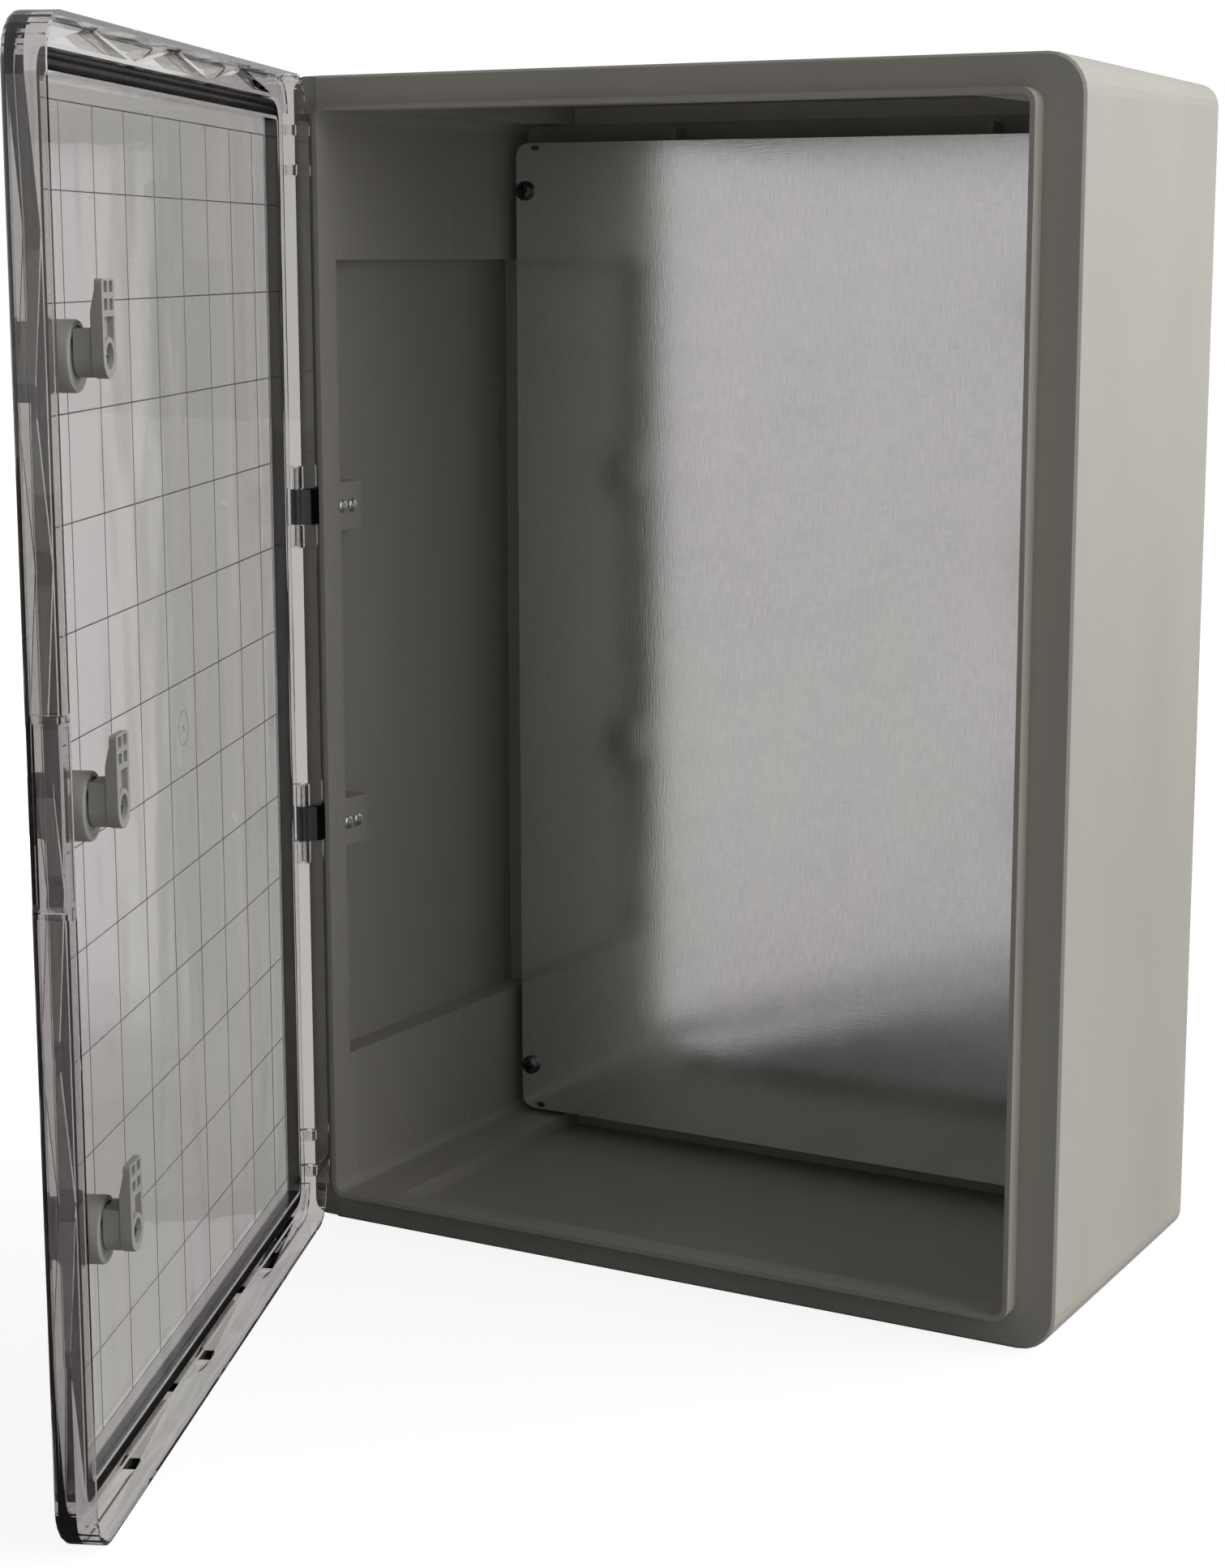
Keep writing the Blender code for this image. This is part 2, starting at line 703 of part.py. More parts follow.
def build_gasket(parent):
    builder = bmesh.new()
    half = SEAL_HALF_WIDTH - GAP
    outer = seal_outline(half, 0.012 - GAP)
    inner = seal_outline(-half, 0.005 + GAP)
    add_frame_y(builder, outer, inner, SKIN_IN_V + GAP, SEAL_FRONT_V)
    gasket = new_object("door_gasket", builder, "seal_rubber", parent)
    smooth(gasket)


# Latches, each in a frame with its origin on the latch's own axis, level with the hinge axis


def build_cup(name, parent):
    builder = bmesh.new()
    low = SKIN_IN_V + GAP
    bore = SHAFT_RADIUS + 2 * GAP
    profile = (
        (bore, low),
        (CUP_RADIUS, low),
        (CUP_RADIUS, CUP_TOP_V - 0.0012),
        (CUP_RADIUS - 0.0010, CUP_TOP_V),
        (bore, CUP_TOP_V),
    )
    rings = []
    for radius, v in profile:
        circle = arc((0.0, 0.0), radius, 0, 360 - 360 / 40, 39)
        rings.append([builder.verts.new((u, v, z)) for u, z in circle])
    close_tube(builder, rings)
    smooth(new_object("latch_cup_" + name, builder, "latch_plastic", parent))


def build_knob(name, parent):
    """Outside knob with a grip bar, and the shaft that reaches the cam."""
    builder = bmesh.new()
    base = SKIN_OUT_V - 0.0026
    face = base - 0.0070
    profile = (
        (0.0170, face),
        (0.0190, face + 0.0020),
        (0.0190, base - 0.0010),
        (0.0180, base),
        (SHAFT_RADIUS, base),
        (SHAFT_RADIUS, CUP_TOP_V),
    )
    add_turned(builder, profile, segments=40)
    knob = new_object("latch_knob_" + name, builder, "latch_plastic", parent)
    grip = bmesh.new()
    add_prism_y(grip, centred_outline(0.0035, 0.0155, 0.0030, steps=4), face + 0.001, face - 0.0070)
    boolean(knob, new_object("add_grip_" + name, grip, None, parent), "UNION")
    bore = bmesh.new()
    add_turned(bore, ((0.0025, CUP_TOP_V - 0.0070), (0.0025, CUP_TOP_V + 0.0010)), segments=16)
    boolean(knob, new_object("cut_shaft_bore_" + name, bore, None, parent))
    smooth(knob)


def build_seal_ring(name, parent):
    builder = bmesh.new()
    add_ring(builder, 0.0140, SHAFT_RADIUS + GAP, SKIN_OUT_V - 0.0023, SKIN_OUT_V - GAP)
    smooth(new_object("latch_seal_" + name, builder, "seal_rubber", parent))


def build_cam(name, parent):
    """Cam arm: a round hub on the shaft, and a flat arm with a ramped tip that slips behind the frame."""
    low = CUP_TOP_V + GAP
    middle = ARM_MIDDLE_V
    builder = bmesh.new()
    outline = arc((0.0, 0.0), HUB_RADIUS, 180, 360, 14)
    tip = arc((HUB_RADIUS - 0.002, ARM_LENGTH - 0.002), 0.002, 0, 90, 3)
    tip += arc((-HUB_RADIUS + 0.002, ARM_LENGTH - 0.002), 0.002, 90, 180, 3)
    add_prism_y(builder, outline + tip, middle, ARM_TOP_V)
    cam = new_object("latch_cam_" + name, builder, "latch_plastic", parent)

    hub = bmesh.new()
    hub_side = HUB_RADIUS - 0.0004
    hub_top = 0.0125
    hub_outline = arc((0.0, 0.0), hub_side, 180, 360, 14) + [(hub_side, hub_top), (-hub_side, hub_top)]
    add_prism_y(hub, hub_outline, low, middle + 0.001)
    boolean(cam, new_object("add_hub_" + name, hub, None, parent), "UNION")

    ramp = bmesh.new()
    wide = HUB_RADIUS + 0.002
    section = (
        (0.0200, middle - 0.002),
        (0.0200, middle),
        (0.0300, ARM_TIP_UNDER_V),
        (ARM_LENGTH + 0.002, ARM_TIP_UNDER_V),
        (ARM_LENGTH + 0.002, middle - 0.002),
    )
    add_loft(ramp, [[(u, v, z) for z, v in section] for u in (-wide, wide)])
    boolean(cam, new_object("cut_ramp_" + name, ramp, None, parent))

    pockets = bmesh.new()
    floor = ARM_TOP_V - 0.0025
    above = ARM_TOP_V + 0.001
    for u in (-0.0042, 0.0042):
        for z in (0.0309, 0.0230):
            add_box(pockets, (u - 0.0028, floor, z - 0.0026), (u + 0.0028, above, z + 0.0026))
    half = 0.0070
    turn = math.degrees(math.acos(half / COLLAR_RADIUS))
    large = [(half, 0.0176), (-half, 0.0176)] + arc((0.0, 0.0), COLLAR_RADIUS, 180 - turn, turn, 8)
    add_prism_y(pockets, large, floor, above)
    boolean(cam, new_object("cut_pockets_" + name, pockets, None, parent))

    bores = bmesh.new()
    stepped = (
        (0.0025, low - 0.001),
        (0.0025, COUNTERBORE_V),
        (COUNTERBORE_RADIUS, COUNTERBORE_V),
        (COUNTERBORE_RADIUS, above),
    )
    add_turned(bores, stepped, segments=28)
    boolean(cam, new_object("cut_cam_bore_" + name, bores, None, parent))
    smooth(cam)


def build_cam_screw(name, parent):
    builder = bmesh.new()
    head = COUNTERBORE_V + GAP
    profile = (
        (0.0021, CUP_TOP_V - 0.0060),
        (0.0021, head),
        (0.0046, head),
        (0.0046, head + 0.0018),
        (0.0036, head + 0.0030),
    )
    add_turned(builder, profile, segments=28)
    smooth(new_object("latch_screw_" + name, builder, "zinc_steel", parent))


def new_axis(name, place, parent=None, turn=0.0):
    """An empty on a joint axis."""
    axis = bpy.data.objects.new(name, None)
    bpy.context.scene.collection.objects.link(axis)
    axis.parent = parent
    axis.location = place
    axis.rotation_euler = (0.0, 0.0, turn)
    axis.empty_display_size = 0.03
    return axis


def main():
    clear_scene()
    build_cabinet()
    build_mounting_plate()
    build_plate_screws()
    build_hinges()
    door_axis = new_axis("door_axis", (AXIS_X, AXIS_Y, 0.0), turn=-OPEN_ANGLE)
    build_door(door_axis)
    build_gasket(door_axis)
    for name, z in zip(("top", "middle", "bottom"), LATCH_Z):
        latch_axis = new_axis("latch_axis_" + name, (LATCH_U, 0.0, z), door_axis)
        build_cup(name, latch_axis)
        build_knob(name, latch_axis)
        build_seal_ring(name, latch_axis)
        build_cam(name, latch_axis)
        build_cam_screw(name, latch_axis)


main()
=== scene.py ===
"""Finish and fine detail for a grey wall cabinet: clear tray door, three latches and a zinc mounting plate.

Metres, +Z up. The cabinet's rear face lies in the plane y = 0 and its front faces -Y. Door details are set
out in the door's own frame: u from the hinge axis to the free edge, v towards the cabinet when shut, z up.
"""

import json
import math
import random

import bmesh
import bpy
from mathutils import Matrix, Vector


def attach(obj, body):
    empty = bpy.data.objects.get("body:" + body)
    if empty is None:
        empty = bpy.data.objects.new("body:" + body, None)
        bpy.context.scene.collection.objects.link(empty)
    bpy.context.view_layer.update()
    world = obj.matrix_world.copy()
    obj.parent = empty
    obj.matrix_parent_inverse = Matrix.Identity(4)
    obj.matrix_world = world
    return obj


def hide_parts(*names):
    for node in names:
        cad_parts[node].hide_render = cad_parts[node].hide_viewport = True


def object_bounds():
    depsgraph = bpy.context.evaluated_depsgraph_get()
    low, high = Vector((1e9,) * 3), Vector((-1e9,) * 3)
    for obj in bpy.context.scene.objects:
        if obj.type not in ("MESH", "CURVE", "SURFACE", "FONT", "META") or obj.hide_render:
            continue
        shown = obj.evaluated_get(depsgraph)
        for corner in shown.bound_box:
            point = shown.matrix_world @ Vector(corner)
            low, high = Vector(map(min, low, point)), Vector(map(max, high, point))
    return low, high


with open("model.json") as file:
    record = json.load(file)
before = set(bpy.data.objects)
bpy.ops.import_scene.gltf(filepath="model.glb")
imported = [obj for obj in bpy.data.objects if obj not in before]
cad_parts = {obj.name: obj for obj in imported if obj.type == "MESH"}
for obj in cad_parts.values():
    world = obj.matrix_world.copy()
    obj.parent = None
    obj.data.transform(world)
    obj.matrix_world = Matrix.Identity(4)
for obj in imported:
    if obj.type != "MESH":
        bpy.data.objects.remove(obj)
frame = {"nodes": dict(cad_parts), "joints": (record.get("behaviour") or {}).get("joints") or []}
CAD_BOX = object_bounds()

# Camera and floor
EYE = (0.8116, -1.6701, 0.2471)
EYE_TURN = (79.75, -0.09, 29.28)
LENS = 67.28
SENSOR = 36.0
LENS_SHIFT = -0.0327
FLOOR_SIZE = 14.0

# Door
JOINTS = {joint["name"]: joint for joint in frame["joints"]}
OPEN_ANGLE = math.radians(JOINTS["door_hinge"]["range_deg"][1])
DOOR = Matrix.Translation(JOINTS["door_hinge"]["pos_m"]) @ Matrix.Rotation(-OPEN_ANGLE, 4, "Z")
PANEL_V = -0.0090
GAP = 0.0003
SEAL_MID_U = 0.2445
SEAL_X = 0.2253
SEAL_Z = 0.3305
SEAL_HALF = 0.0047
SEAL_TOP_V = -0.0022
SEAL_CORNER = 0.0085
SEAL_STEPS_ACROSS = 37
SEAL_STEPS_UPRIGHT = 53
GRID_PITCH = 0.0500
GRID_COLUMNS = (0.0575, 0.1095, 0.1615, 0.2135, 0.2655, 0.3175, 0.3695, 0.4215)
GRID_EDGE_U = (0.0285, 0.4455)
GRID_EDGE_Z = (-0.3165, 0.3150)
GRID_WIDTH = 0.0006
GRID_HEIGHT = 0.00025
GATE_U = 0.2383
GATE_RADIUS = 0.0095

# Latches, each in a frame on its own axis
LATCHES = ("top", "middle", "bottom")
ARM_FACE_V = 0.0160
ARM_MIDDLE_V = 0.0102
ARM_TIP_V = 0.0124
ARM_TOP_Z = 0.0346
HUB_RADIUS = 0.0100
HUB_TOP_Z = 0.0125
CUP_RADIUS = 0.0165
CUP_TOP_V = 0.0015
SHAFT_BORE = 0.0066
COUNTERBORE_RADIUS = 0.0060
COUNTERBORE_V = 0.0105
COLLAR_RADIUS = 0.0086

# Cabinet
FLANGE_Y = -0.2280
INSIDE_X = 0.2238
INSIDE_Z = 0.3290
BLOCK_X = 0.1860
BLOCK_Z = 0.2435
SEAM_DEPTHS = (0.013, 0.135)
SEAM_HALF = 0.0003
PLATE_Y = -0.0340
PLATE_SCREW_X = 0.2080
PLATE_SCREW_Z = (0.2870, -0.2950)
HINGE_Z = (0.097, -0.097)
LEAF_SCREW_Y = (-0.2205, -0.2105)

# Screws: shank radius, length, head radius and head height
CAM_SCREW = (0.0021, 0.0150, 0.0050, 0.0040)
PLATE_SCREW = (0.0024, 0.0200, 0.0062, 0.0038)
LEAF_SCREW = (0.0018, 0.0160, 0.0040, 0.0022)

# Base colours
CABINET_GREY = (0.555, 0.530, 0.472)
LATCH_GREY = (0.455, 0.440, 0.405)
# Near-white that the clear door's base colour is mixed towards where it turns away from the view: a painted
# sheen.
PAINTED_SHEEN_WHITE = (0.93, 0.92, 0.90)
SMOKE = (0.10, 0.04, 0.22)
SMOKE_DENSITY = 12.0


# Mesh helpers


def new_piece(name, builder, finish, body, place=None):
    """Turn a bmesh into a piece with one finish, riding on a body."""
    mesh = bpy.data.meshes.new(name)
    bmesh.ops.recalc_face_normals(builder, faces=builder.faces)
    if place is not None:
        builder.transform(place)
    builder.to_mesh(mesh)
    builder.free()
    piece = bpy.data.objects.new(name, mesh)
    bpy.context.scene.collection.objects.link(piece)
    mesh.materials.append(finish)
    if body is not None:
        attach(piece, body)
    return piece


def arc(centre, radius, start, end, steps):
    """Points of an arc given in degrees, both ends included."""
    points = []
    for step in range(steps + 1):
        angle = math.radians(start + (end - start) * step / steps)
        points.append((centre[0] + radius * math.cos(angle), centre[1] + radius * math.sin(angle)))
    return points


def rounded_outline(low, high, radius, steps=6):
    """Counter-clockwise outline of a rectangle with round corners."""
    left, bottom = low[0] + radius, low[1] + radius
    right, top = high[0] - radius, high[1] - radius
    outline = []
    for x, z, start in ((right, top, 0), (left, top, 90), (left, bottom, 180), (right, bottom, 270)):
        outline += arc((x, z), radius, start, start + 90, steps)
    return outline


def add_loft(builder, rings):
    """Skin between rings of equal point count, capped at both ends."""
    layers = [[builder.verts.new(point) for point in ring] for ring in rings]
    for lower, upper in zip(layers, layers[1:]):
        for index in range(len(lower)):
            after = (index + 1) % len(lower)
            builder.faces.new((lower[index], lower[after], upper[after], upper[index]))
    builder.faces.new(layers[0])
    builder.faces.new(layers[-1])


def add_tube(builder, rings):
    """Skin round a closed chain of rings, such as a picture frame."""
    layers = [[builder.verts.new(point) for point in ring] for ring in rings]
    for lower, upper in zip(layers, layers[1:] + layers[:1]):
        for index in range(len(lower)):
            after = (index + 1) % len(lower)
            builder.faces.new((lower[index], lower[after], upper[after], upper[index]))


def add_prism(builder, outline, start, end):
    """Extrude an (x, z) outline along Y."""
    add_loft(builder, [[(x, y, z) for x, z in outline] for y in (start, end)])


def add_box(builder, low, high):
    corners = [(low[0], low[2]), (high[0], low[2]), (high[0], high[2]), (low[0], high[2])]
    add_prism(builder, corners, low[1], high[1])


def add_turned(builder, profile, segments=32):
    """Turn an open (radius, along) profile about the Y axis, capped at both ends."""
    rings = []
    for radius, along in profile:
        circle = arc((0.0, 0.0), radius, 0, 360 - 360 / segments, segments - 1)
        rings.append([(x, along, z) for x, z in circle])
    add_loft(builder, rings)


def round_edges(piece, width, segments=2, angle=40):
    modifier = piece.modifiers.new("edge_rounding", "BEVEL")
    modifier.width = width
    modifier.segments = segments
    modifier.limit_method = "ANGLE"
    modifier.angle_limit = math.radians(angle)
    modifier.harden_normals = False


def smooth(piece, angle=35):
    piece.data.shade_smooth()
    piece.data.set_sharp_from_angle(angle=math.radians(angle))


def carve(target, builder, operation="DIFFERENCE"):
    """Cut a form from a piece, or join one to it, and apply the result."""
    mesh = bpy.data.meshes.new("tool")
    bmesh.ops.recalc_face_normals(builder, faces=builder.faces)
    builder.to_mesh(mesh)
    builder.free()
    tool = bpy.data.objects.new("tool", mesh)
    bpy.context.scene.collection.objects.link(tool)
    modifier = target.modifiers.new("carve", "BOOLEAN")
    modifier.operation = operation
    modifier.solver = "EXACT"
    modifier.object = tool
    bpy.context.view_layer.update()
    graph = bpy.context.evaluated_depsgraph_get()
    result = bpy.data.meshes.new_from_object(target.evaluated_get(graph))
    target.modifiers.clear()
    target.data = result
    bpy.data.objects.remove(tool)


# Shader helpers


def new_group(name, inputs, outputs):
    """A shader node group with float inputs, given as (label, value), and outputs, given as labels."""
    tree = bpy.data.node_groups.new(name, "ShaderNodeTree")
    for label, value in inputs:
        socket = tree.interface.new_socket(label, in_out="INPUT", socket_type="NodeSocketFloat")
        socket.default_value = value
    for label in outputs:
        tree.interface.new_socket(label, in_out="OUTPUT", socket_type="NodeSocketFloat")
    return tree, tree.nodes.new("NodeGroupInput"), tree.nodes.new("NodeGroupOutput")


def add_group(tree, group, **values):
    node = tree.nodes.new("ShaderNodeGroup")
    node.node_tree = group
    for label, value in values.items():
        node.inputs[label.replace("_", " ")].default_value = value
    return node


def stretched(tree, scale):
    """Coordinates on the piece itself, in metres, stretched per axis."""
    coordinates = tree.nodes.new("ShaderNodeTexCoord")
    mapping = tree.nodes.new("ShaderNodeMapping")
    mapping.inputs["Scale"].default_value = scale
    tree.links.new(coordinates.outputs["Object"], mapping.inputs["Vector"])
    return mapping.outputs["Vector"]


def noise(tree, vector, scale, detail=2.0, roughness=0.5):
    node = tree.nodes.new("ShaderNodeTexNoise")
    node.inputs["Scale"].default_value = scale
    node.inputs["Detail"].default_value = detail
    node.inputs["Roughness"].default_value = roughness
    tree.links.new(vector, node.inputs["Vector"])
    return node


def spread(tree, value, low, high, start=0.3, end=0.7):
    """Stretch a value from start..end to low..high."""
    node = tree.nodes.new("ShaderNodeMapRange")
    node.inputs["From Min"].default_value = start
    node.inputs["From Max"].default_value = end
    node.inputs["To Min"].default_value = low
    node.inputs["To Max"].default_value = high
    tree.links.new(value, node.inputs["Value"])
    return node


def maths(tree, operation, first, second):
    node = tree.nodes.new("ShaderNodeMath")
    node.operation = operation
    for socket, value in zip(node.inputs, (first, second)):
        if isinstance(value, float):
            socket.default_value = value
        else:
            tree.links.new(value, socket)
    return node.outputs["Value"]


def ramp(tree, value, *stops):
    """A colour band: stops are (place, colour)."""
    node = tree.nodes.new("ShaderNodeValToRGB")
    band = node.color_ramp
    while len(band.elements) < len(stops):
        band.elements.new(0.5)
    for element, (place, colour) in zip(band.elements, stops):
        element.position = place
        element.color = (*colour, 1.0)
    tree.links.new(value, node.inputs["Fac"])
    return node.outputs["Color"]


def mixed_with(tree, share, colour, other):
    """A varying colour mixed with a fixed one by a share from 0 to 1."""
    node = tree.nodes.new("ShaderNodeMix")
    node.data_type = "RGBA"
    first, second = [socket for socket in node.inputs if socket.type == "RGBA"]
    tree.links.new(share, node.inputs["Factor"])
    tree.links.new(colour, first)
    second.default_value = (*other, 1.0)
    return next(socket for socket in node.outputs if socket.type == "RGBA")


def bump(tree, height, distance, strength=1.0):
    node = tree.nodes.new("ShaderNodeBump")
    node.inputs["Distance"].default_value = distance
    node.inputs["Strength"].default_value = strength
    tree.links.new(height, node.inputs["Height"])
    return node.outputs["Normal"]


def tinted(colour, factor):
    return tuple(min(channel * factor, 1.0) for channel in colour)


def new_finish(name, metallic=0.0):
    finish = bpy.data.materials.new(name)
    finish.use_nodes = True
    shader = finish.node_tree.nodes["Principled BSDF"]
    shader.inputs["Metallic"].default_value = metallic
    return finish, finish.node_tree, shader


# Effects shared by several finishes


def moulded_grain_group():
    """Fine spark-eroded grain with slow flow marks: Tone and Gloss run 0 to 1, Height is the grain."""
    inputs = (("Grain Scale", 1500.0), ("Flow Scale", 9.0), ("Speckle", 0.25))
    tree, given, result = new_group("moulded_grain", inputs, ("Tone", "Gloss", "Height"))
    even = stretched(tree, (1.0, 1.0, 1.0))
    flow = noise(tree, stretched(tree, (1.0, 1.0, 0.45)), 9.0, 3.0)
    tree.links.new(given.outputs["Flow Scale"], flow.inputs["Scale"])
    grain = noise(tree, even, 1500.0, 2.0, 0.6)
    tree.links.new(given.outputs["Grain Scale"], grain.inputs["Scale"])
    pits = noise(tree, even, 420.0, 1.0)
    slow = spread(tree, flow.outputs["Fac"], 0.0, 1.0)
    fine = spread(tree, pits.outputs["Fac"], -0.5, 0.5)
    speckled = maths(tree, "MULTIPLY", fine.outputs["Result"], given.outputs["Speckle"])
    tone = maths(tree, "ADD", slow.outputs["Result"], speckled)
    tree.links.new(tone, result.inputs["Tone"])
    gloss = spread(tree, grain.outputs["Fac"], 0.0, 1.0)
    tree.links.new(gloss.outputs["Result"], result.inputs["Gloss"])
    tree.links.new(grain.outputs["Fac"], result.inputs["Height"])
    return tree


def rolled_grain_group():
    """Linen-like grain of rolled and coated sheet: short streaks across and along the roll."""
    inputs = (("Cross", 0.45), ("Cloud", 0.5))
    tree, given, result = new_group("rolled_grain", inputs, ("Tone", "Gloss", "Height"))
    along = noise(tree, stretched(tree, (900.0, 1.0, 90.0)), 1.0, 3.0, 0.6)
    across = noise(tree, stretched(tree, (70.0, 1.0, 1100.0)), 1.0, 3.0, 0.6)
    cloud = noise(tree, stretched(tree, (14.0, 1.0, 9.0)), 1.0, 4.0, 0.6)
    crossed = maths(tree, "MULTIPLY", across.outputs["Fac"], given.outputs["Cross"])
    height = maths(tree, "ADD", along.outputs["Fac"], crossed)
    clouded = maths(tree, "MULTIPLY", cloud.outputs["Fac"], given.outputs["Cloud"])
    mixed = maths(tree, "ADD", height, clouded)
    tone = spread(tree, mixed, 0.0, 1.0, 0.75, 1.25)
    gloss = spread(tree, cloud.outputs["Fac"], 0.0, 1.0)
    tree.links.new(tone.outputs["Result"], result.inputs["Tone"])
    tree.links.new(gloss.outputs["Result"], result.inputs["Gloss"])
    tree.links.new(height, result.inputs["Height"])
    return tree


def moulded_finish(name, colour, group, roughness, depth, grain_scale, flow_scale, speckle=0.25):
    """Opaque moulded plastic."""
    finish, tree, shader = new_finish(name)
    grain = add_group(tree, group, Grain_Scale=grain_scale, Flow_Scale=flow_scale, Speckle=speckle)
    stops = ((0.0, tinted(colour, 0.93)), (0.55, colour), (1.0, tinted(colour, 1.05)))
    tree.links.new(ramp(tree, grain.outputs["Tone"], *stops), shader.inputs["Base Color"])
    gloss = spread(tree, grain.outputs["Gloss"], roughness - 0.05, roughness + 0.05, 0.0, 1.0)
    tree.links.new(gloss.outputs["Result"], shader.inputs["Roughness"])
    shader.inputs["Specular IOR Level"].default_value = 0.25
    tree.links.new(bump(tree, grain.outputs["Height"], depth), shader.inputs["Normal"])
    return finish


def clear_finish():
    """Clear smoke-tinted moulding with some tint in its depth. Its base colour is painted paler, a painted
    sheen, where the surface turns away from the view and on rays that have already passed into the panel.
    """
    finish, tree, shader = new_finish("clear_smoke")
    shader.inputs["IOR"].default_value = 1.57
    shader.inputs["Transmission Weight"].default_value = 1.0
    bands = noise(tree, stretched(tree, (9.0, 9.0, 2.2)), 1.0, 1.0)
    stops = (
        (0.30, (0.485, 0.480, 0.450)),
        (0.50, (0.500, 0.480, 0.460)),
        (0.70, (0.500, 0.465, 0.470)),
    )
    # Painted sheen: the tint is mixed towards near-white by viewing angle (Layer Weight Facing) and by
    # transmission depth, not by the plastic's own colour.
    facing = tree.nodes.new("ShaderNodeLayerWeight")
    facing.inputs["Blend"].default_value = 0.35
    turned = spread(tree, facing.outputs["Facing"], 0.0, 1.0, 0.45, 0.90)
    path = tree.nodes.new("ShaderNodeLightPath")
    inner = maths(tree, "GREATER_THAN", path.outputs["Transmission Depth"], 1.5)
    painted_sheen_share = maths(tree, "MAXIMUM", turned.outputs["Result"], inner)
    tint_and_painted_sheen = mixed_with(tree, painted_sheen_share, ramp(tree, bands.outputs["Fac"], *stops), PAINTED_SHEEN_WHITE)
    tree.links.new(tint_and_painted_sheen, shader.inputs["Base Color"])
    scuffs = noise(tree, stretched(tree, (60.0, 60.0, 14.0)), 1.0, 4.0)
    haze = spread(tree, scuffs.outputs["Fac"], 0.0, 0.012)
    tree.links.new(haze.outputs["Result"], shader.inputs["Roughness"])
    waves = noise(tree, stretched(tree, (22.0, 22.0, 9.0)), 1.0, 1.0)
    tree.links.new(bump(tree, waves.outputs["Fac"], 0.0004), shader.inputs["Normal"])
    depth = tree.nodes.new("ShaderNodeVolumeAbsorption")
    depth.inputs["Color"].default_value = (*SMOKE, 1.0)
    depth.inputs["Density"].default_value = SMOKE_DENSITY
    tree.links.new(depth.outputs["Volume"], tree.nodes["Material Output"].inputs["Volume"])
    return finish


def seal_finish():
    """Poured foam seal: almost black, with a skin that shines a little on its crown."""
    finish, tree, shader = new_finish("foam_seal")
    cells = noise(tree, stretched(tree, (1.0, 1.0, 1.0)), 520.0, 3.0, 0.6)
    drift = noise(tree, stretched(tree, (1.0, 1.0, 1.0)), 26.0, 2.0)
    stops = ((0.35, (0.004, 0.0035, 0.003)), (0.65, (0.012, 0.010, 0.008)))
    tree.links.new(ramp(tree, drift.outputs["Fac"], *stops), shader.inputs["Base Color"])
    gloss = spread(tree, cells.outputs["Fac"], 0.38, 0.62)
    tree.links.new(gloss.outputs["Result"], shader.inputs["Roughness"])
    shader.inputs["Specular IOR Level"].default_value = 0.10
    tree.links.new(bump(tree, cells.outputs["Fac"], 0.00012), shader.inputs["Normal"])
    return finish


def score_finish():
    """Raised score lines of the cutting grid: the same clear plastic, coloured opaque dark grey as painted
    shade so each reads as a dark hairline.
    """
    finish, tree, shader = new_finish("score_line_painted_dark")
    drift = noise(tree, stretched(tree, (1.0, 1.0, 1.0)), 40.0, 2.0)
    # Painted shade: the dark grey stands in for the shading the ridges make in the clear panel, not a
    # colour of their own.
    stops = ((0.35, (0.085, 0.075, 0.085)), (0.65, (0.17, 0.155, 0.165)))
    tree.links.new(ramp(tree, drift.outputs["Fac"], *stops), shader.inputs["Base Color"])
    gloss = spread(tree, drift.outputs["Fac"], 0.25, 0.45)
    tree.links.new(gloss.outputs["Result"], shader.inputs["Roughness"])
    return finish


def sheet_finish(group):
    """Zinc-coated sheet steel of the mounting plate."""
    finish, tree, shader = new_finish("zinc_sheet", 1.0)
    grain = add_group(tree, group, Cross=0.55, Cloud=0.6)
    stops = ((0.0, (0.76, 0.77, 0.80)), (0.5, (0.85, 0.86, 0.88)), (1.0, (0.93, 0.93, 0.94)))
    tree.links.new(ramp(tree, grain.outputs["Tone"], *stops), shader.inputs["Base Color"])
    gloss = spread(tree, grain.outputs["Gloss"], 0.12, 0.17, 0.0, 1.0)
    tree.links.new(gloss.outputs["Result"], shader.inputs["Roughness"])
    tree.links.new(bump(tree, grain.outputs["Height"], 0.00003), shader.inputs["Normal"])
    return finish


def plated_finish(name, colour, roughness):
    """Plated turned parts such as screws and pins."""
    finish, tree, shader = new_finish(name, 1.0)
    wear = noise(tree, stretched(tree, (1.0, 1.0, 1.0)), 700.0, 3.0)
    stops = ((0.3, tinted(colour, 0.85)), (0.7, tinted(colour, 1.1)))
    tree.links.new(ramp(tree, wear.outputs["Fac"], *stops), shader.inputs["Base Color"])
    gloss = spread(tree, wear.outputs["Fac"], roughness - 0.06, roughness + 0.08)
    tree.links.new(gloss.outputs["Result"], shader.inputs["Roughness"])
    tree.links.new(bump(tree, wear.outputs["Fac"], 0.00003), shader.inputs["Normal"])
    return finish


def floor_finish():
    finish, tree, shader = new_finish("studio_floor")
    drift = noise(tree, stretched(tree, (1.0, 1.0, 1.0)), 3.0, 2.0)
    stops = ((0.3, (0.31, 0.31, 0.31)), (0.7, (0.33, 0.33, 0.33)))
    tree.links.new(ramp(tree, drift.outputs["Fac"], *stops), shader.inputs["Base Color"])
    shader.inputs["Roughness"].default_value = 0.9
    shader.inputs["Specular IOR Level"].default_value = 0.1
    path = tree.nodes.new("ShaderNodeLightPath")
    straight = maths(tree, "MAXIMUM", path.outputs["Is Camera Ray"], path.outputs["Is Transmission Ray"])
    tree.links.new(maths(tree, "MULTIPLY", straight, 0.88), shader.inputs["Emission Strength"])
    shader.inputs["Emission Color"].default_value = (1.0, 1.0, 1.0, 1.0)
    return finish


